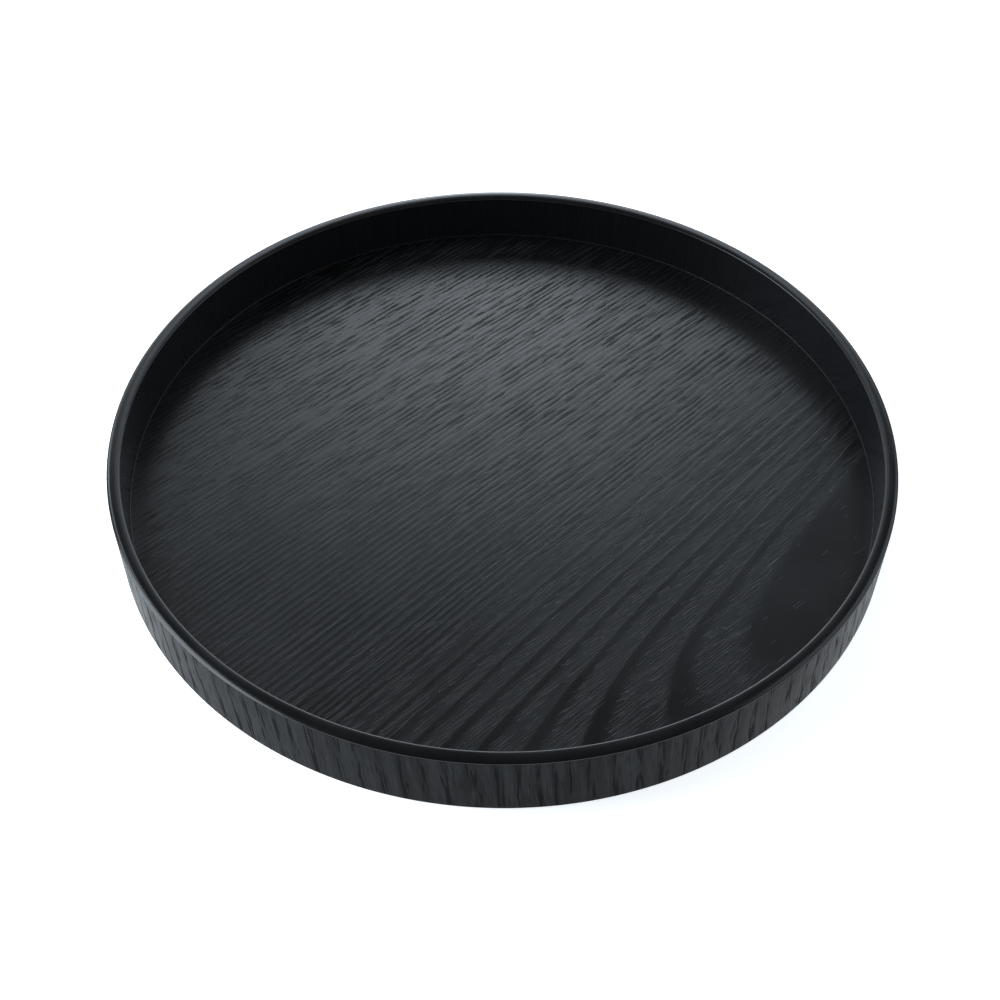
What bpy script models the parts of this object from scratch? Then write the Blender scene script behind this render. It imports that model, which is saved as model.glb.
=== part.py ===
"""A round serving tray: a veneered base board glued into the rabbet of a veneered bent-wood rim.

The origin is at the centre of the tray, on the plane that it stands on. +Z is up, and all lengths are in metres.
Every turned section is drawn as (radius, height) points.
"""

import math

import bmesh
import bpy

# Overall sizes.
TRAY_DIAMETER = 0.300
RIM_HEIGHT = 0.0275

# The rim's three layers, from the outside in.
OUTER_VENEER_THICKNESS = 0.0006
HOOP_THICKNESS = 0.0032
INNER_FACING_THICKNESS = 0.0006

# The lip: its crown, how far it falls towards the outer edge, and the rounding where it turns down to the inner wall.
CROWN_INSET = 0.0016
OUTER_EDGE_DROP = 0.0004
CROWN_RADIUS = 0.013
INNER_ARRIS_RADIUS = 0.0011
LIP_LAND = 0.0004

# The base: its layers, how far its underside clears the table, and how deep it sits in the rim.
BASE_RECESS = 0.0018
BASE_CORE_THICKNESS = 0.0032
BASE_VENEER_THICKNESS = 0.0006
RABBET_DEPTH = 0.0016

# The outer veneer stops this far above the table, so that it isn't chipped when the tray slides.
VENEER_REVEAL = 0.0004

# The clearance between two glued faces, and between the two ends of a veneer band.
GLUE_GAP = 0.0003

# Where the two bands' ends meet, as angles from +X towards +Y.
OUTER_JOINT_ANGLE = math.radians(-53.0)
INNER_JOINT_ANGLE = math.radians(112.0)

# The fineness of the round shapes.
SEGMENTS = 120
ARC_STEPS = 5
SHARP_ANGLE = math.radians(30.0)

# Radii that follow from the layers.
OUTER_RADIUS = TRAY_DIAMETER / 2
VENEER_BACK_RADIUS = OUTER_RADIUS - OUTER_VENEER_THICKNESS
HOOP_OUTER_RADIUS = VENEER_BACK_RADIUS - GLUE_GAP
HOOP_INNER_RADIUS = HOOP_OUTER_RADIUS - HOOP_THICKNESS
FACING_BACK_RADIUS = HOOP_INNER_RADIUS - GLUE_GAP
INNER_RADIUS = FACING_BACK_RADIUS - INNER_FACING_THICKNESS
RABBET_RADIUS = HOOP_INNER_RADIUS + RABBET_DEPTH
BASE_RADIUS = RABBET_RADIUS - GLUE_GAP

# Heights that follow from the layers.
BASE_CORE_BOTTOM = BASE_RECESS + BASE_VENEER_THICKNESS + GLUE_GAP
BASE_TOP_VENEER_BOTTOM = BASE_CORE_BOTTOM + BASE_CORE_THICKNESS + GLUE_GAP
BASE_TOP = BASE_TOP_VENEER_BOTTOM + BASE_VENEER_THICKNESS
SHOULDER_HEIGHT = BASE_TOP + GLUE_GAP


def clear_scene():
    for obj in list(bpy.data.objects):
        bpy.data.objects.remove(obj, do_unlink=True)


def arc(centre, radius, start, end, steps):
    """Points on an arc. The angles are measured from straight up, positive towards the outside of the tray."""
    points = []
    for step in range(steps + 1):
        angle = start + (end - start) * step / steps
        points.append((centre[0] + radius * math.sin(angle), centre[1] + radius * math.cos(angle)))
    return points


def lip_section():
    """The lip's top from its inner land to its outer edge, as three arcs that run into each other."""
    crown = OUTER_RADIUS - CROWN_INSET
    arris_centre_radius = INNER_RADIUS + INNER_ARRIS_RADIUS
    meeting_angle = math.asin((crown - arris_centre_radius) / (CROWN_RADIUS - INNER_ARRIS_RADIUS))
    crown_centre = (crown, RIM_HEIGHT - CROWN_RADIUS)
    arris_height = crown_centre[1] + (CROWN_RADIUS - INNER_ARRIS_RADIUS) * math.cos(meeting_angle)
    arris_centre = (arris_centre_radius, arris_height)
    edge_radius = (CROWN_INSET**2 + OUTER_EDGE_DROP**2) / (2 * OUTER_EDGE_DROP)
    edge_centre = (crown, RIM_HEIGHT - edge_radius)
    edge_angle = math.asin(CROWN_INSET / edge_radius)
    inner_arris = arc(arris_centre, INNER_ARRIS_RADIUS, -math.pi / 2, -meeting_angle, ARC_STEPS)
    inner_crown = arc(crown_centre, CROWN_RADIUS, -meeting_angle, 0.0, 2)
    outer_edge = arc(edge_centre, edge_radius, 0.0, edge_angle, ARC_STEPS)
    return inner_arris + inner_crown[1:] + outer_edge[1:]


def lip_undersides():
    """The heights of the lip's two lower edges, inside and outside, where the veneers butt against it."""
    section = lip_section()
    return section[0][1] - LIP_LAND, section[-1][1] - LIP_LAND


def hoop_section():
    """The bent hoop, up its inner side from the rabbet, over the lip and down its outer side to the table."""
    inner_underside, outer_underside = lip_undersides()
    return [
        (RABBET_RADIUS, 0.0),
        (RABBET_RADIUS, SHOULDER_HEIGHT),
        (HOOP_INNER_RADIUS, SHOULDER_HEIGHT),
        (HOOP_INNER_RADIUS, inner_underside),
        (INNER_RADIUS, inner_underside),
        *lip_section(),
        (OUTER_RADIUS, outer_underside),
        (HOOP_OUTER_RADIUS, outer_underside),
        (HOOP_OUTER_RADIUS, 0.0),
    ]


def band_section(inner_radius, outer_radius, bottom, top):
    return [(inner_radius, bottom), (inner_radius, top), (outer_radius, top), (outer_radius, bottom)]


def lacquer(name, colour, roughness):
    material = bpy.data.materials.new(name)
    material.use_nodes = True
    shader = material.node_tree.nodes["Principled BSDF"]
    shader.inputs["Base Color"].default_value = (*colour, 1.0)
    shader.inputs["Roughness"].default_value = roughness
    shader.inputs["Metallic"].default_value = 0.0
    material.diffuse_color = (*colour, 1.0)
    return material


def finish_object(name, bm, material, parent):
    """Makes the object from its mesh, faces out and shaded smooth except at its edges."""
    bmesh.ops.recalc_face_normals(bm, faces=bm.faces)
    mesh = bpy.data.meshes.new(name)
    bm.to_mesh(mesh)
    bm.free()
    mesh.shade_smooth()
    mesh.set_sharp_from_angle(angle=SHARP_ANGLE)
    mesh.materials.append(material)
    obj = bpy.data.objects.new(name, mesh)
    bpy.context.scene.collection.objects.link(obj)
    obj.parent = parent
    return obj


def ring_mesh(section):
    """The section turned all the way round."""
    bm = bmesh.new()
    verts = [bm.verts.new((radius, 0.0, height)) for radius, height in section]
    edges = [bm.edges.new((first, second)) for first, second in zip(verts, verts[1:] + verts[:1])]
    bmesh.ops.spin(
        bm,
        geom=verts + edges,
        cent=(0.0, 0.0, 0.0),
        axis=(0.0, 0.0, 1.0),
        angle=math.tau,
        steps=SEGMENTS,
        use_merge=True,
    )
    return bm


def band_mesh(section, joint_angle):
    """The section turned almost all the way round: its ends face each other across the glue gap."""
    bm = bmesh.new()
    half_gap = GLUE_GAP / (2 * section[0][0])
    start = joint_angle + half_gap
    verts = [
        bm.verts.new((radius * math.cos(start), radius * math.sin(start), height))
        for radius, height in section
    ]
    face = bm.faces.new(verts)
    bmesh.ops.spin(
        bm,
        geom=[face],
        cent=(0.0, 0.0, 0.0),
        axis=(0.0, 0.0, 1.0),
        angle=math.tau - 2 * half_gap,
        steps=SEGMENTS,
    )
    return bm


def disc_mesh(radius, bottom, thickness):
    bm = bmesh.new()
    circle = bmesh.ops.create_circle(bm, cap_ends=True, cap_tris=True, radius=radius, segments=SEGMENTS)
    bmesh.ops.translate(bm, verts=circle["verts"], vec=(0.0, 0.0, bottom))
    raised = bmesh.ops.extrude_face_region(bm, geom=bm.faces[:], use_keep_orig=True)
    top = [item for item in raised["geom"] if isinstance(item, bmesh.types.BMVert)]
    bmesh.ops.translate(bm, verts=top, vec=(0.0, 0.0, thickness))
    return bm


def make_hoop_core(parent):
    material = lacquer("lip_lacquer", (0.012, 0.013, 0.014), 0.22)
    finish_object("hoop_core", ring_mesh(hoop_section()), material, parent)


def make_outer_veneer_band(parent):
    top = lip_undersides()[1] - GLUE_GAP
    section = band_section(VENEER_BACK_RADIUS, OUTER_RADIUS, VENEER_REVEAL, top)
    material = lacquer("rim_ash_lacquer", (0.014, 0.015, 0.017), 0.38)
    finish_object("outer_veneer_band", band_mesh(section, OUTER_JOINT_ANGLE), material, parent)


def make_inner_face_band(parent):
    top = lip_undersides()[0] - GLUE_GAP
    section = band_section(INNER_RADIUS, FACING_BACK_RADIUS, SHOULDER_HEIGHT, top)
    material = lacquer("inner_wall_lacquer", (0.010, 0.010, 0.011), 0.30)
    finish_object("inner_face_band", band_mesh(section, INNER_JOINT_ANGLE), material, parent)


def make_base_core(parent):
    material = lacquer("board_edge_lacquer", (0.020, 0.018, 0.016), 0.60)
    mesh = disc_mesh(BASE_RADIUS, BASE_CORE_BOTTOM, BASE_CORE_THICKNESS)
    finish_object("base_core", mesh, material, parent)


def make_base_top_veneer(parent):
    material = lacquer("floor_ash_lacquer", (0.014, 0.015, 0.017), 0.42)
    mesh = disc_mesh(BASE_RADIUS, BASE_TOP_VENEER_BOTTOM, BASE_VENEER_THICKNESS)
    finish_object("base_top_veneer", mesh, material, parent)


def make_base_back_veneer(parent):
    material = lacquer("underside_lacquer", (0.016, 0.016, 0.017), 0.50)
    mesh = disc_mesh(BASE_RADIUS, BASE_RECESS, BASE_VENEER_THICKNESS)
    finish_object("base_back_veneer", mesh, material, parent)


def make_tray():
    tray = bpy.data.objects.new("serving_tray", None)
    bpy.context.scene.collection.objects.link(tray)
    make_hoop_core(tray)
    make_outer_veneer_band(tray)
    make_inner_face_band(tray)
    make_base_core(tray)
    make_base_top_veneer(tray)
    make_base_back_veneer(tray)


clear_scene()
make_tray()
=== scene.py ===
"""A round serving tray of black-lacquered ash, on a pale studio floor.

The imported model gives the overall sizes. The turned pieces here are finer versions of its nodes, and each one
gets the material that the real one has: open-grained veneer on the floor and outside, smooth lacquer on the lip
and inside. Lengths are in metres, angles in radians from +X towards +Y, and turned sections are (radius, height)
points.
"""

import math

import bmesh
import bpy
from mathutils import Matrix, Vector


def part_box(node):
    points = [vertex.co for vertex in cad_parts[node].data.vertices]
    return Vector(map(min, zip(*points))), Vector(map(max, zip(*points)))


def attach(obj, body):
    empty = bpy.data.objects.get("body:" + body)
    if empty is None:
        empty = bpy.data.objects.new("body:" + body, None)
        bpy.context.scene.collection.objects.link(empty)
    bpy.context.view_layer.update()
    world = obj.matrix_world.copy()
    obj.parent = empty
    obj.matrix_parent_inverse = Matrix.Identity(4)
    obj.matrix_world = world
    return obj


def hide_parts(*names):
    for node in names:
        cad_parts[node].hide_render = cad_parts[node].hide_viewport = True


# The fineness of the turned pieces.
SEGMENTS = 720
ARC_STEPS = 10
SHARP_ANGLE = math.radians(28.0)

# The lip: its crown, how far it falls towards the outer edge, and the rounding where it turns down to the inner
# wall. It is rubbed down by hand, a little rounder at the rear than at the front.
CROWN_INSET = 0.0016
OUTER_EDGE_DROP = 0.0004
FRONT_CROWN_RADIUS = 0.026
REAR_CROWN_RADIUS = 0.009
INNER_ARRIS_RADIUS = 0.0007
LIP_LAND = 0.0003
FOOT_CHAMFER = 0.0001

# The lacquer runs into the glue lines, so the layers all but meet where the CAD model keeps them 0.3 mm apart.
LACQUERED_GAP = 0.00008

# The bead of lacquer in the corner between the floor and the wall.
BEAD_RADIUS = 0.00045
BEAD_STEPS = 6

# The outer veneer's butt joint, at the front right, and the wide rounding of its top edge on one side of it.
# The rounding takes up at most WIDEST_ROUNDING of the veneer's thickness.
OUTER_JOINT_ANGLE = math.radians(-53.0)
OUTER_JOINT_GAP = 0.00012
ROUNDED_RUN = math.radians(75.0)
ROUNDED_FADE = math.radians(11.25)
ROUNDED_EDGE = 0.0011
CRISP_EDGE = 0.00018
WIDEST_ROUNDING = 0.8

# The inner facing's joint, at the rear left.
INNER_JOINT_ANGLE = math.radians(112.0)
INNER_JOINT_GAP = 0.00006

# The floor's grain: the direction of its fibres, and the log that the veneer was sawn from. The log's axis
# passes under HEART at HEART_DEPTH, and comes nearer to the surface along the grain by HEART_TAPER. HEART_RINGS
# rings lie within that depth, and the rings further out get narrower, as RING_CROWDING says.
GRAIN_ANGLE = math.radians(42.0)
HEART = (0.100, -0.084)
HEART_DEPTH = 0.080
HEART_TAPER = -0.088
HEART_RINGS = 13.3
RING_CROWDING = 1.4
RING_SHIFT = 0.30

# Far from the heart the rings are too crowded to tell apart, and show as rows of pores.
ROW_SPACING = 0.0023
ROW_UNEVENNESS = 2.6
ROW_WANDER = 0.0035
SPARSEST_ROW = 0.25

# The rim's upright grain: how wide its rings are, and how far they lean and wander.
RIM_RING_WIDTH = 0.0072
RIM_RING_UNEVENNESS = 2.8
RIM_LEAN = 0.08
RIM_WANDER = 0.003

# The lacquer's colours. All of them are nearly black, and the pores are the darkest.
FLOOR_GROUND = (0.0036, 0.0040, 0.0044)
FLOOR_PORE = (0.0016, 0.0018, 0.0020)
RIM_LIGHT = (0.0166, 0.0189, 0.0217)
RIM_DARK = (0.0042, 0.0049, 0.0058)
RIM_PORE = (0.0018, 0.0021, 0.0026)
LIP_DARK = (0.0040, 0.0043, 0.0047)
LIP_LIGHT = (0.0058, 0.0062, 0.0066)
FACING_DARK = (0.0055, 0.0063, 0.0074)
FACING_LIGHT = (0.0088, 0.0099, 0.0115)
BOARD_DARK = (0.010, 0.009, 0.008)
BOARD_LIGHT = (0.022, 0.019, 0.016)
UNDERSIDE_DARK = (0.008, 0.008, 0.009)
UNDERSIDE_LIGHT = (0.016, 0.016, 0.017)

# The studio floor, and how far it lies below the tray, so that no two faces coincide.
FLOOR_HALF_SIZE = 30.0
FLOOR_DROP = 0.0002
FLOOR_DARK = (0.84, 0.85, 0.86)
FLOOR_LIGHT = (0.86, 0.87, 0.88)

# The camera, aimed near the tray's centre.
CAMERA_AIM = (-0.0008, -0.0128, 0.0)
CAMERA_PLACE = (0.0, -0.4028, 0.4342)
CAMERA_ROLL = math.radians(0.51)
CAMERA_LENS = 53.53

# The lights. The floor is a lit table, so no strong light has to come from the viewer's side. The studio's walls
# are white below WALL_BOTTOM and fade to CEILING at WALL_TOP, as angles above the horizon.
BOX_DISTANCE = 1.6
FLOOR_GLOW = 0.78
GLOW_COLOUR = (0.96, 1.0, 1.04)
COOL_WHITE = (0.90, 1.0, 1.09)
WALL_BOTTOM = math.radians(6.0)
WALL_TOP = math.radians(40.0)
WALL = (1.0, 1.0, 1.0)
CEILING = (0.07, 0.073, 0.076)


# ---- Meshes --------------------------------------------------------------------------------------


def arc(centre, radius, start, end, steps):
    """Points on an arc. The angles are measured from straight up, positive towards the tray's outside."""
    points = []
    for step in range(steps + 1):
        angle = start + (end - start) * step / steps
        points.append((centre[0] + radius * math.sin(angle), centre[1] + radius * math.cos(angle)))
    return points


def node_radii(name):
    """The smallest and the largest radius of a CAD node's points."""
    radii = [Vector(vert.co[:2]).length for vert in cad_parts[name].data.vertices]
    return min(radii), max(radii)


def finish_piece(name, bm, material, replaced):
    bmesh.ops.recalc_face_normals(bm, faces=bm.faces)
    mesh = bpy.data.meshes.new(name)
    bm.to_mesh(mesh)
    bm.free()
    mesh.shade_smooth()
    mesh.set_sharp_from_angle(angle=SHARP_ANGLE)
    mesh.materials.append(material)
    piece = bpy.data.objects.new(name, mesh)
    bpy.context.scene.collection.objects.link(piece)
    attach(piece, "root")
    if replaced:
        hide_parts(replaced)
    return piece


def add_ring(bm, section, angle):
    """The section's points, stood up at the angle."""
    cosine = math.cos(angle)
    sine = math.sin(angle)
    return [bm.verts.new((radius * cosine, radius * sine, height)) for radius, height in section]


def join_rings(bm, ring, following):
    for index in range(len(ring)):
        after = (index + 1) % len(ring)
        bm.faces.new((ring[index], following[index], following[after], ring[after]))


def turned(section_at):
    """A closed section turned all the way round. It may change with the angle."""
    bm = bmesh.new()
    angles = [math.tau * step / SEGMENTS for step in range(SEGMENTS)]
    rings = [add_ring(bm, section_at(angle), angle) for angle in angles]
    for ring, following in zip(rings, rings[1:] + rings[:1]):
        join_rings(bm, ring, following)
    return bm


def bent_band(section_at, joint_angle, gap):
    """A band whose section may change along it, with its two ends facing each other across the gap."""
    half_gap = gap / (2 * section_at(0.0)[0][0])
    bm = bmesh.new()
    rings = []
    for step in range(SEGMENTS + 1):
        share = step / SEGMENTS
        angle = joint_angle + half_gap + (math.tau - 2 * half_gap) * share
        rings.append(add_ring(bm, section_at(share * math.tau), angle))
    for ring, following in zip(rings, rings[1:]):
        join_rings(bm, ring, following)
    bm.faces.new(rings[0])
    bm.faces.new(rings[-1])
    return bm


# ---- The pieces ----------------------------------------------------------------------------------


def lip_section(crown_radius):
    """The lip's top from its inner land to its outer edge, as three arcs that run into each other."""
    crown = OUTER_RADIUS - CROWN_INSET
    arris_centre_radius = INNER_RADIUS + INNER_ARRIS_RADIUS
    meeting_angle = math.asin((crown - arris_centre_radius) / (crown_radius - INNER_ARRIS_RADIUS))
    crown_centre = (crown, RIM_HEIGHT - crown_radius)
    arris_height = crown_centre[1] + (crown_radius - INNER_ARRIS_RADIUS) * math.cos(meeting_angle)
    edge_radius = (CROWN_INSET**2 + OUTER_EDGE_DROP**2) / (2 * OUTER_EDGE_DROP)
    edge_angle = math.asin(CROWN_INSET / edge_radius)
    arris_centre = (arris_centre_radius, arris_height)
    arris = arc(arris_centre, INNER_ARRIS_RADIUS, -math.pi / 2, -meeting_angle, ARC_STEPS)
    inner_crown = arc(crown_centre, crown_radius, -meeting_angle, 0.0, ARC_STEPS)
    outer_edge = arc((crown, RIM_HEIGHT - edge_radius), edge_radius, 0.0, edge_angle, ARC_STEPS)
    return arris + inner_crown[1:] + outer_edge[1:]


def lip_undersides():
    """The heights of the lip's two lower edges, inside and outside, where the veneers butt against it."""
    section = lip_section(REAR_CROWN_RADIUS)
    return section[0][1] - LIP_LAND, section[-1][1] - LIP_LAND


def make_lip(material):
    """The bent hoop. Its lip covers the top edges of both veneers."""
    inner_underside, outer_underside = lip_undersides()
    hoop_inner = FACING_BACK_RADIUS + LACQUERED_GAP
    hoop_outer = VENEER_BACK_RADIUS - LACQUERED_GAP

    def section_at(angle):
        rear_share = (1 + math.sin(angle)) / 2
        crown_radius = FRONT_CROWN_RADIUS + (REAR_CROWN_RADIUS - FRONT_CROWN_RADIUS) * rear_share
        return [
            (RABBET_RADIUS + FOOT_CHAMFER, 0.0),
            (RABBET_RADIUS, FOOT_CHAMFER),
            (RABBET_RADIUS, SHOULDER_HEIGHT),
            (hoop_inner, SHOULDER_HEIGHT),
            (hoop_inner, inner_underside),
            (INNER_RADIUS, inner_underside),
            *lip_section(crown_radius),
            (OUTER_RADIUS, outer_underside),
            (hoop_outer, outer_underside),
            (hoop_outer, FOOT_CHAMFER),
            (hoop_outer - FOOT_CHAMFER, 0.0),
        ]

    finish_piece("rim_hoop", turned(section_at), material, "hoop_core")


def make_outer_veneer(material):
    """The outside's veneer. Its top edge is rubbed round on one side of the joint and crisp elsewhere."""
    top = lip_undersides()[1] - LACQUERED_GAP
    bottom = LACQUERED_GAP

    def section_at(angle):
        fade = min(max((ROUNDED_RUN - angle) / ROUNDED_FADE, 0.0), 1.0)
        edge = CRISP_EDGE + (ROUNDED_EDGE - CRISP_EDGE) * fade * fade * (3 - 2 * fade)
        width = min(edge, WIDEST_ROUNDING * (OUTER_RADIUS - VENEER_BACK_RADIUS))
        rounding = []
        for step in range(ARC_STEPS + 1):
            turn = math.pi / 2 * step / ARC_STEPS
            radius = OUTER_RADIUS - width + width * math.sin(turn)
            rounding.append((radius, top - edge + edge * math.cos(turn)))
        return [
            (VENEER_BACK_RADIUS, bottom),
            (VENEER_BACK_RADIUS, top),
            *rounding,
            (OUTER_RADIUS, bottom + FOOT_CHAMFER),
            (OUTER_RADIUS - FOOT_CHAMFER, bottom),
        ]

    mesh = bent_band(section_at, OUTER_JOINT_ANGLE, OUTER_JOINT_GAP)
    finish_piece("rim_outer_veneer", mesh, material, "outer_veneer_band")


def make_inner_facing(material):
    """The thin facing inside the rim, with a fine butt joint of its own."""
    top = lip_undersides()[0] - LACQUERED_GAP
    section = [
        (INNER_RADIUS, SHOULDER_HEIGHT),
        (INNER_RADIUS, top),
        (FACING_BACK_RADIUS, top),
        (FACING_BACK_RADIUS, SHOULDER_HEIGHT),
    ]
    mesh = bent_band(lambda angle: section, INNER_JOINT_ANGLE, INNER_JOINT_GAP)
    finish_piece("rim_inner_facing", mesh, material, "inner_face_band")


def make_corner_bead(material):
    """The lacquer that gathers in the corner: a hollow fillet from the floor up to the wall."""
    section = [(INNER_RADIUS, FLOOR_TOP)]
    for step in range(BEAD_STEPS + 1):
        turn = math.pi / 2 * step / BEAD_STEPS
        radius = INNER_RADIUS - BEAD_RADIUS + BEAD_RADIUS * math.sin(turn)
        height = FLOOR_TOP + BEAD_RADIUS - BEAD_RADIUS * math.cos(turn)
        section.append((radius, height))
    finish_piece("corner_bead", turned(lambda angle: section), material, None)


# ---- Materials -----------------------------------------------------------------------------------


class Graph:
    """The nodes of one material. An input is either a number, a tuple or another node's output."""

    def __init__(self, name):
        self.material = bpy.data.materials.new(name)
        self.material.use_nodes = True
        self.tree = self.material.node_tree
        self.shader = self.tree.nodes["Principled BSDF"]

    def feed(self, socket, value):
        if isinstance(value, bpy.types.NodeSocket):
            self.tree.links.new(value, socket)
        else:
            socket.default_value = value

    def set(self, **inputs):
        for name, value in inputs.items():
            self.feed(self.shader.inputs[name.replace("_", " ")], value)

    def node(self, kind, **settings):
        node = self.tree.nodes.new(kind)
        for name, value in settings.items():
            setattr(node, name, value)
        return node

    def math(self, operation, *values):
        node = self.node("ShaderNodeMath", operation=operation)
        for socket, value in zip(node.inputs, values):
            self.feed(socket, value)
        return node.outputs[0]

    def smooth(self, value, low, high, start=0.0, end=1.0):
        """Goes smoothly from start to end as the value goes from low to high."""
        node = self.node("ShaderNodeMapRange", interpolation_type="SMOOTHSTEP")
        names = ("Value", "From Min", "From Max", "To Min", "To Max")
        for name, given in zip(names, (value, low, high, start, end)):
            self.feed(node.inputs[name], given)
        return node.outputs["Result"]

    def blend(self, factor, first, second):
        """A colour between the two."""
        node = self.node("ShaderNodeMix", data_type="RGBA")
        self.feed(node.inputs[0], factor)
        for socket, colour in ((node.inputs[6], first), (node.inputs[7], second)):
            self.feed(socket, (*colour, 1.0) if isinstance(colour, tuple) else colour)
        return node.outputs[2]

    def vector(self, x, y, z):
        node = self.node("ShaderNodeCombineXYZ")
        for socket, value in zip(node.inputs, (x, y, z)):
            self.feed(socket, value)
        return node.outputs[0]

    def noise(self, vector, scale=1.0, detail=2.0, roughness=0.5):
        node = self.node("ShaderNodeTexNoise", noise_dimensions="3D")
        self.feed(node.inputs["Vector"], vector)
        node.inputs["Scale"].default_value = scale
        node.inputs["Detail"].default_value = detail
        node.inputs["Roughness"].default_value = roughness
        return node.outputs["Fac"]

    def bump(self, height, distance, strength=1.0, normal=None):
        node = self.node("ShaderNodeBump")
        self.feed(node.inputs["Height"], height)
        node.inputs["Distance"].default_value = distance
        node.inputs["Strength"].default_value = strength
        if normal:
            self.feed(node.inputs["Normal"], normal)
        return node.outputs["Normal"]

    def place(self):
        """The point's place on the object."""
        return self.node("ShaderNodeTexCoord").outputs["Object"]

    def split(self, vector):
        """The vector's X, Y and Z."""
        parts = self.node("ShaderNodeSeparateXYZ")
        self.feed(parts.inputs[0], vector)
        return parts.outputs

    def rotated(self, x, y, angle):
        """How far a point lies along a direction at the angle, and how far to the left of it."""
        cosine = math.cos(angle)
        sine = math.sin(angle)
        along = self.math("ADD", self.math("MULTIPLY", x, cosine), self.math("MULTIPLY", y, sine))
        aside = self.math("SUBTRACT", self.math("MULTIPLY", y, cosine), self.math("MULTIPLY", x, sine))
        return along, aside

    def cells(self, across, width, along, length):
        """Coordinates for a noise whose cells have this width and length."""
        return self.vector(self.math("DIVIDE", across, width), self.math("DIVIDE", along, length), 0.0)


def pores(graph, across, along, density, width, length, softness):
    """Short grooves where the vessels of the wood are cut open. A higher density gives more of them."""
    noise = graph.noise(graph.cells(across, width, along, length), detail=1.0, roughness=0.3)
    level = graph.math("SUBTRACT", 0.74, graph.math("MULTIPLY", density, 0.25))
    return graph.smooth(graph.math("SUBTRACT", noise, level), 0.0, softness)


def ring_share(graph, distance, ring_width, unevenness):
    """How far a point is through its growth ring, from 0 at the pores to 1. The rings vary in width."""
    slow = graph.vector(graph.math("DIVIDE", distance, 5 * ring_width), 0.0, 0.0)
    uneven = graph.math("MULTIPLY", graph.noise(slow, detail=1.0), unevenness)
    return graph.math("FRACT", graph.math("ADD", graph.math("DIVIDE", distance, ring_width), uneven))


def early_wood(graph, ring, rise, fall_start, fall_end):
    """1 in the porous early wood of each ring, 0 in the smooth late wood."""
    risen = graph.smooth(ring, 0.0, rise)
    return graph.math("MULTIPLY", risen, graph.smooth(ring, fall_start, fall_end, start=1.0, end=0.0))


def flat_sawn_early_wood(graph, along, across):
    """The porous early wood on a board sawn beside the heart of the log. The heart itself is smooth."""
    stretched = graph.vector(graph.math("MULTIPLY", along, 9.0), graph.math("MULTIPLY", across, 26.0), 0.0)
    wander = graph.math("ADD", graph.math("MULTIPLY", graph.noise(stretched, detail=1.0), 0.6), RING_SHIFT)
    depth = graph.math("ADD", graph.math("MULTIPLY", along, HEART_TAPER), HEART_DEPTH)
    squares = graph.math("ADD", graph.math("MULTIPLY", depth, depth), graph.math("MULTIPLY", across, across))
    share = graph.math("DIVIDE", graph.math("SQRT", squares), HEART_DEPTH)
    rings = graph.math("MULTIPLY", graph.math("POWER", share, RING_CROWDING), HEART_RINGS)
    ring = graph.math("FRACT", graph.math("ADD", rings, wander))
    banded = early_wood(graph, ring, rise=0.12, fall_start=0.60, fall_end=0.90)
    straight = graph.math("MULTIPLY", share, HEART_DEPTH)
    radius = graph.math("ADD", straight, graph.math("MULTIPLY", wander, ROW_WANDER))
    row = ring_share(graph, radius, ROW_SPACING, ROW_UNEVENNESS)
    rows = early_wood(graph, row, rise=0.20, fall_start=0.40, fall_end=0.80)
    filled = graph.math("ADD", graph.math("MULTIPLY", rows, 1.0 - SPARSEST_ROW), SPARSEST_ROW)
    far = graph.smooth(share, 1.20, 1.60)
    near = graph.math("SUBTRACT", graph.smooth(share, 1.005, 1.03), far)
    return graph.math("ADD", graph.math("MULTIPLY", banded, near), graph.math("MULTIPLY", filled, far))


def floor_veneer_lacquer():
    """Satin lacquer over flat-sawn ash. It doesn't fill the pores, so the rings show as rows of grooves."""
    graph = Graph("floor_ash_lacquer")
    place = graph.place()
    x, y, z = graph.split(place)
    east = graph.math("SUBTRACT", x, HEART[0])
    north = graph.math("SUBTRACT", y, HEART[1])
    along, across = graph.rotated(east, north, GRAIN_ANGLE)
    early = flat_sawn_early_wood(graph, along, across)
    patchy = graph.noise(graph.cells(across, 0.008, along, 0.035))
    density = graph.math("MULTIPLY", early, graph.smooth(patchy, 0.36, 0.58, start=0.62, end=1.22))
    grooves = pores(graph, across, along, density, width=0.00052, length=0.0120, softness=0.07)
    fibres = graph.noise(graph.cells(across, 0.00030, along, 0.0060), detail=1.0)
    cloud = graph.noise(place, scale=30.0, detail=2.0)
    relief = graph.math("SUBTRACT", graph.math("MULTIPLY", early, -0.20), grooves)
    carved = graph.bump(relief, distance=0.00014)
    satin = graph.smooth(cloud, 0.3, 0.7, start=0.235, end=0.275)
    duller = graph.math("ADD", graph.math("MULTIPLY", grooves, 0.34), satin)
    graph.set(
        Base_Color=graph.blend(grooves, FLOOR_GROUND, FLOOR_PORE),
        Roughness=graph.math("ADD", duller, graph.math("MULTIPLY", early, 0.07)),
        Normal=graph.bump(fibres, distance=0.00003, strength=0.7, normal=carved),
        Specular_IOR_Level=0.36,
    )
    return graph.material


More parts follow.
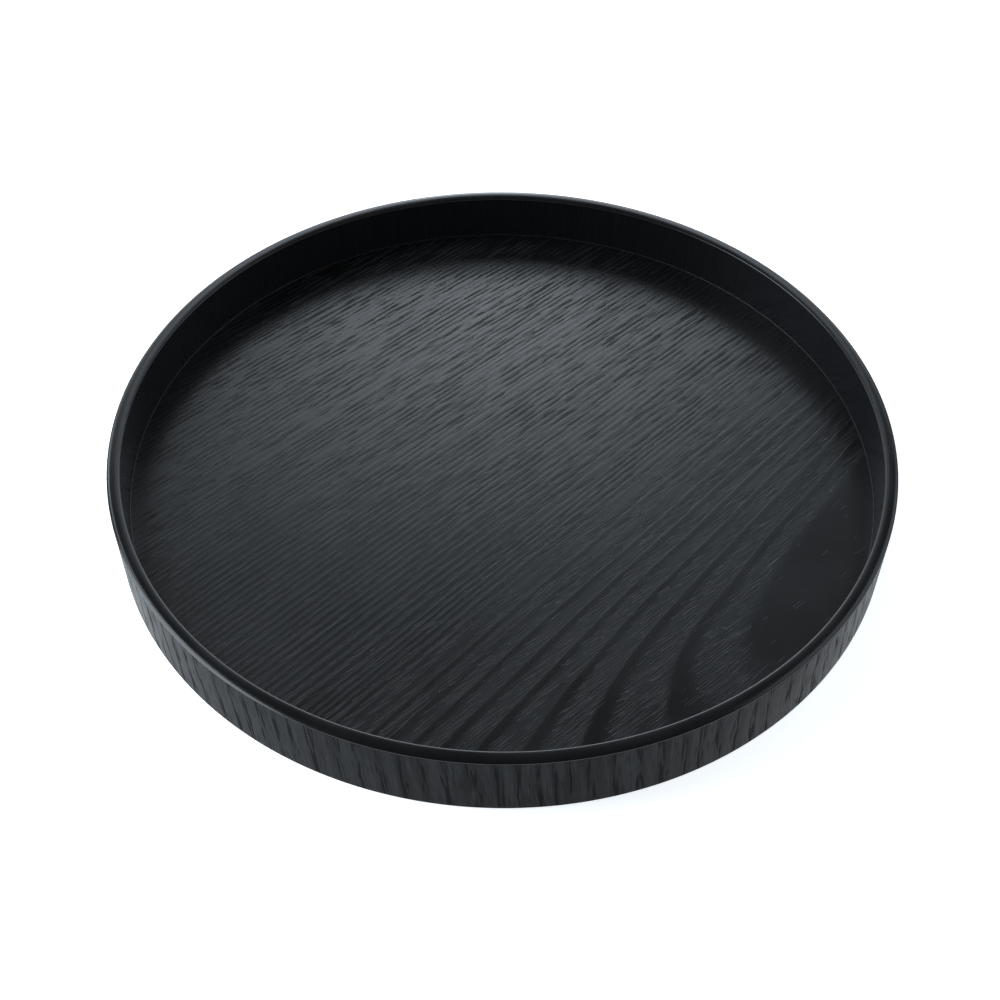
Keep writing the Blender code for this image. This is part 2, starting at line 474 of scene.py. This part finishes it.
def rim_veneer_lacquer():
    """The same lacquer over veneer whose grain stands upright, in clusters of pores a ring apart."""
    graph = Graph("rim_ash_lacquer")
    place = graph.place()
    x, y, z = graph.split(place)
    ahead, aside = graph.rotated(x, y, OUTER_JOINT_ANGLE + math.pi)
    run = graph.math("MULTIPLY", graph.math("ARCTAN2", aside, ahead), OUTER_RADIUS)
    drift = graph.vector(graph.math("MULTIPLY", run, 30.0), graph.math("MULTIPLY", z, 20.0), 0.0)
    bend = graph.noise(drift, detail=1.0)
    leaning = graph.math("ADD", run, graph.math("MULTIPLY", z, RIM_LEAN))
    across = graph.math("ADD", leaning, graph.math("MULTIPLY", bend, RIM_WANDER))
    ring = ring_share(graph, across, RIM_RING_WIDTH, RIM_RING_UNEVENNESS)
    early = early_wood(graph, ring, rise=0.25, fall_start=0.30, fall_end=0.78)
    density = graph.math("MULTIPLY", early, 1.30)
    thick = pores(graph, across, z, density, width=0.00095, length=0.0120, softness=0.16)
    thin = pores(graph, across, z, density=0.75, width=0.00062, length=0.0090, softness=0.15)
    grooves = graph.math("MAXIMUM", thick, graph.math("MULTIPLY", thin, 0.5))
    fibres = graph.noise(graph.cells(across, 0.00050, z, 0.0090), detail=2.0)
    broad = graph.noise(graph.cells(across, 0.0026, z, 0.04), detail=3.0)
    relief = graph.math("SUBTRACT", graph.math("MULTIPLY", early, -0.3), grooves)
    carved = graph.bump(relief, distance=0.00010)
    mottle = graph.math("ADD", graph.math("MULTIPLY", broad, 0.6), graph.math("MULTIPLY", fibres, 0.4))
    stain = graph.math("ADD", mottle, graph.math("MULTIPLY", early, 0.07))
    ground = graph.blend(graph.smooth(stain, 0.38, 0.62), RIM_LIGHT, RIM_DARK)
    cloud = graph.noise(place, scale=26.0, detail=2.0)
    satin = graph.smooth(cloud, 0.3, 0.7, start=0.30, end=0.35)
    graph.set(
        Base_Color=graph.blend(graph.math("MULTIPLY", grooves, 0.88), ground, RIM_PORE),
        Roughness=graph.math("ADD", graph.math("MULTIPLY", grooves, 0.25), satin),
        Normal=graph.bump(fibres, distance=0.00003, strength=0.6, normal=carved),
        Specular_IOR_Level=0.045,
    )
    return graph.material


def lip_lacquer():
    """Rubbed, grainless lacquer with the slight unevenness of a coat put on by hand."""
    graph = Graph("lip_lacquer")
    place = graph.place()
    waves = graph.noise(place, scale=160.0, detail=1.0)
    cloud = graph.noise(place, scale=40.0, detail=2.0)
    graph.set(
        Base_Color=graph.blend(cloud, LIP_DARK, LIP_LIGHT),
        Roughness=graph.smooth(cloud, 0.3, 0.7, start=0.16, end=0.20),
        Normal=graph.bump(waves, distance=0.00003, strength=0.5),
        Specular_IOR_Level=0.30,
    )
    return graph.material


def inner_facing_lacquer():
    """Smooth dark lacquer, with the ghost of an upright grain under it."""
    graph = Graph("inner_wall_lacquer")
    x, y, z = graph.split(graph.place())
    run = graph.math("MULTIPLY", graph.math("ARCTAN2", y, x), INNER_RADIUS)
    stretched = graph.vector(graph.math("MULTIPLY", run, 700.0), graph.math("MULTIPLY", z, 30.0), 0.0)
    streaks = graph.noise(stretched, detail=2.0)
    graph.set(
        Base_Color=graph.blend(streaks, FACING_DARK, FACING_LIGHT),
        Roughness=graph.smooth(streaks, 0.3, 0.7, start=0.24, end=0.30),
        Normal=graph.bump(streaks, distance=0.00002, strength=0.5),
        Specular_IOR_Level=0.15,
    )
    return graph.material


def board_lacquer(name, dark, light, roughness):
    """Thin lacquer over plain wood, on the faces that only show from below or through a joint."""
    graph = Graph(name)
    x, y, z = graph.split(graph.place())
    stretched = graph.vector(graph.math("MULTIPLY", x, 60.0), graph.math("MULTIPLY", y, 1400.0), z)
    streaks = graph.noise(stretched, detail=3.0, roughness=0.6)
    graph.set(
        Base_Color=graph.blend(streaks, dark, light),
        Roughness=graph.smooth(streaks, 0.3, 0.7, start=roughness, end=roughness + 0.12),
        Normal=graph.bump(streaks, distance=0.00004, strength=0.6),
        Specular_IOR_Level=0.3,
    )
    return graph.material


def dress(node, material):
    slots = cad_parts[node].data.materials
    slots.clear()
    slots.append(material)


# ---- The studio ----------------------------------------------------------------------------------


def pale_floor():
    """A seamless pale floor, large enough to reach the horizon from low down."""
    graph = Graph("pale_floor")
    cloud = graph.noise(graph.place(), scale=1.5, detail=2.0)
    graph.set(
        Base_Color=graph.blend(cloud, FLOOR_DARK, FLOOR_LIGHT),
        Roughness=0.9,
        Specular_IOR_Level=0.0,
        Emission_Color=(*GLOW_COLOUR, 1.0),
        Emission_Strength=FLOOR_GLOW,
    )
    bm = bmesh.new()
    bmesh.ops.create_grid(bm, x_segments=8, y_segments=8, size=FLOOR_HALF_SIZE)
    mesh = bpy.data.meshes.new("studio_floor")
    bm.to_mesh(mesh)
    bm.free()
    mesh.materials.append(graph.material)
    floor = bpy.data.objects.new("studio_floor", mesh)
    floor.location.z = -FLOOR_DROP
    bpy.context.scene.collection.objects.link(floor)


def direction(azimuth, elevation):
    """The unit vector to a compass angle, clockwise from +Y seen from above, and an elevation."""
    flat = math.cos(elevation)
    return Vector((flat * math.sin(azimuth), flat * math.cos(azimuth), math.sin(elevation)))


def softbox(name, azimuth, lowest, highest, half_spread, radiance):
    """An even rectangular light, given in degrees by the part of the sky that it fills over the tray."""
    middle = math.radians((lowest + highest) / 2)
    light = bpy.data.lights.new(name, "AREA")
    light.shape = "RECTANGLE"
    light.size = 2 * BOX_DISTANCE * math.tan(math.radians(half_spread))
    light.size_y = 2 * BOX_DISTANCE * math.tan(math.radians((highest - lowest) / 2))
    light.energy = radiance * math.pi * light.size * light.size_y
    light.color = COOL_WHITE
    box = bpy.data.objects.new(name, light)
    toward = direction(math.radians(azimuth), middle)
    box.location = BOX_DISTANCE * toward
    box.rotation_euler = toward.to_track_quat("Z", "Y").to_euler()
    box.visible_camera = False
    bpy.context.scene.collection.objects.link(box)


def pale_horizon():
    """The studio's walls: pale low down, darker towards the ceiling."""
    world = bpy.data.worlds.new("studio")
    world.use_nodes = True
    nodes = world.node_tree.nodes
    links = world.node_tree.links
    parts = nodes.new("ShaderNodeSeparateXYZ")
    links.new(nodes.new("ShaderNodeTexCoord").outputs["Generated"], parts.inputs[0])
    ramp = nodes.new("ShaderNodeValToRGB")
    links.new(parts.outputs["Z"], ramp.inputs[0])
    ramp.color_ramp.interpolation = "EASE"
    low, high = ramp.color_ramp.elements
    low.position = math.sin(WALL_BOTTOM)
    low.color = (*WALL, 1.0)
    high.position = math.sin(WALL_TOP)
    high.color = (*CEILING, 1.0)
    links.new(ramp.outputs["Color"], nodes["Background"].inputs["Color"])
    bpy.context.scene.world = world


def make_camera():
    camera = bpy.data.cameras.new("camera")
    camera.lens = CAMERA_LENS
    camera.clip_start = 0.01
    eye = bpy.data.objects.new("camera", camera)
    away = Vector(CAMERA_PLACE) - Vector(CAMERA_AIM)
    turn = away.to_track_quat("Z", "Y").to_matrix().to_4x4() @ Matrix.Rotation(CAMERA_ROLL, 4, "Z")
    eye.matrix_world = Matrix.Translation(CAMERA_PLACE) @ turn
    bpy.context.scene.collection.objects.link(eye)
    bpy.context.scene.camera = eye


# ---- The scene -----------------------------------------------------------------------------------


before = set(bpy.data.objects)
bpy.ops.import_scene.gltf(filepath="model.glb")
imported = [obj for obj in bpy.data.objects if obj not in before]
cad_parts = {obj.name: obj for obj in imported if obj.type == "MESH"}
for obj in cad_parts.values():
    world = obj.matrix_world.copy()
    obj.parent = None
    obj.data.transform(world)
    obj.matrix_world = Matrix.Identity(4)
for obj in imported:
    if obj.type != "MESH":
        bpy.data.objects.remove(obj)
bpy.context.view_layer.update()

OUTER_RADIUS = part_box("hoop_core")[1].x
RIM_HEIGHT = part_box("hoop_core")[1].z
VENEER_BACK_RADIUS = node_radii("outer_veneer_band")[0]
INNER_RADIUS, FACING_BACK_RADIUS = node_radii("inner_face_band")
SHOULDER_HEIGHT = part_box("inner_face_band")[0].z
FLOOR_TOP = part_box("base_top_veneer")[1].z
RABBET_RADIUS = node_radii("base_core")[1] + LACQUERED_GAP

make_camera()
facing = inner_facing_lacquer()
make_lip(lip_lacquer())
make_outer_veneer(rim_veneer_lacquer())
make_inner_facing(facing)
make_corner_bead(facing)
dress("base_top_veneer", floor_veneer_lacquer())
dress("base_core", board_lacquer("board_edge_lacquer", BOARD_DARK, BOARD_LIGHT, roughness=0.55))
dress("base_back_veneer", board_lacquer("underside_lacquer", UNDERSIDE_DARK, UNDERSIDE_LIGHT, roughness=0.45))

pale_floor()
softbox("back_box", azimuth=-1.0, lowest=12.0, highest=48.2, half_spread=13.0, radiance=1.85)
softbox("back_strip", azimuth=-2.5, lowest=8.0, highest=34.5, half_spread=4.5, radiance=3.9)
softbox("wide_box", azimuth=-6.0, lowest=12.0, highest=46.0, half_spread=38.0, radiance=1.25)
softbox("left_strip", azimuth=-48.0, lowest=25.0, highest=60.0, half_spread=4.0, radiance=4.0)
softbox("left_box", azimuth=-84.0, lowest=32.0, highest=60.0, half_spread=16.0, radiance=8.0)
softbox("right_box", azimuth=66.0, lowest=28.0, highest=62.0, half_spread=18.0, radiance=1.5)
pale_horizon()
bpy.context.scene.view_settings.view_transform = "Standard"
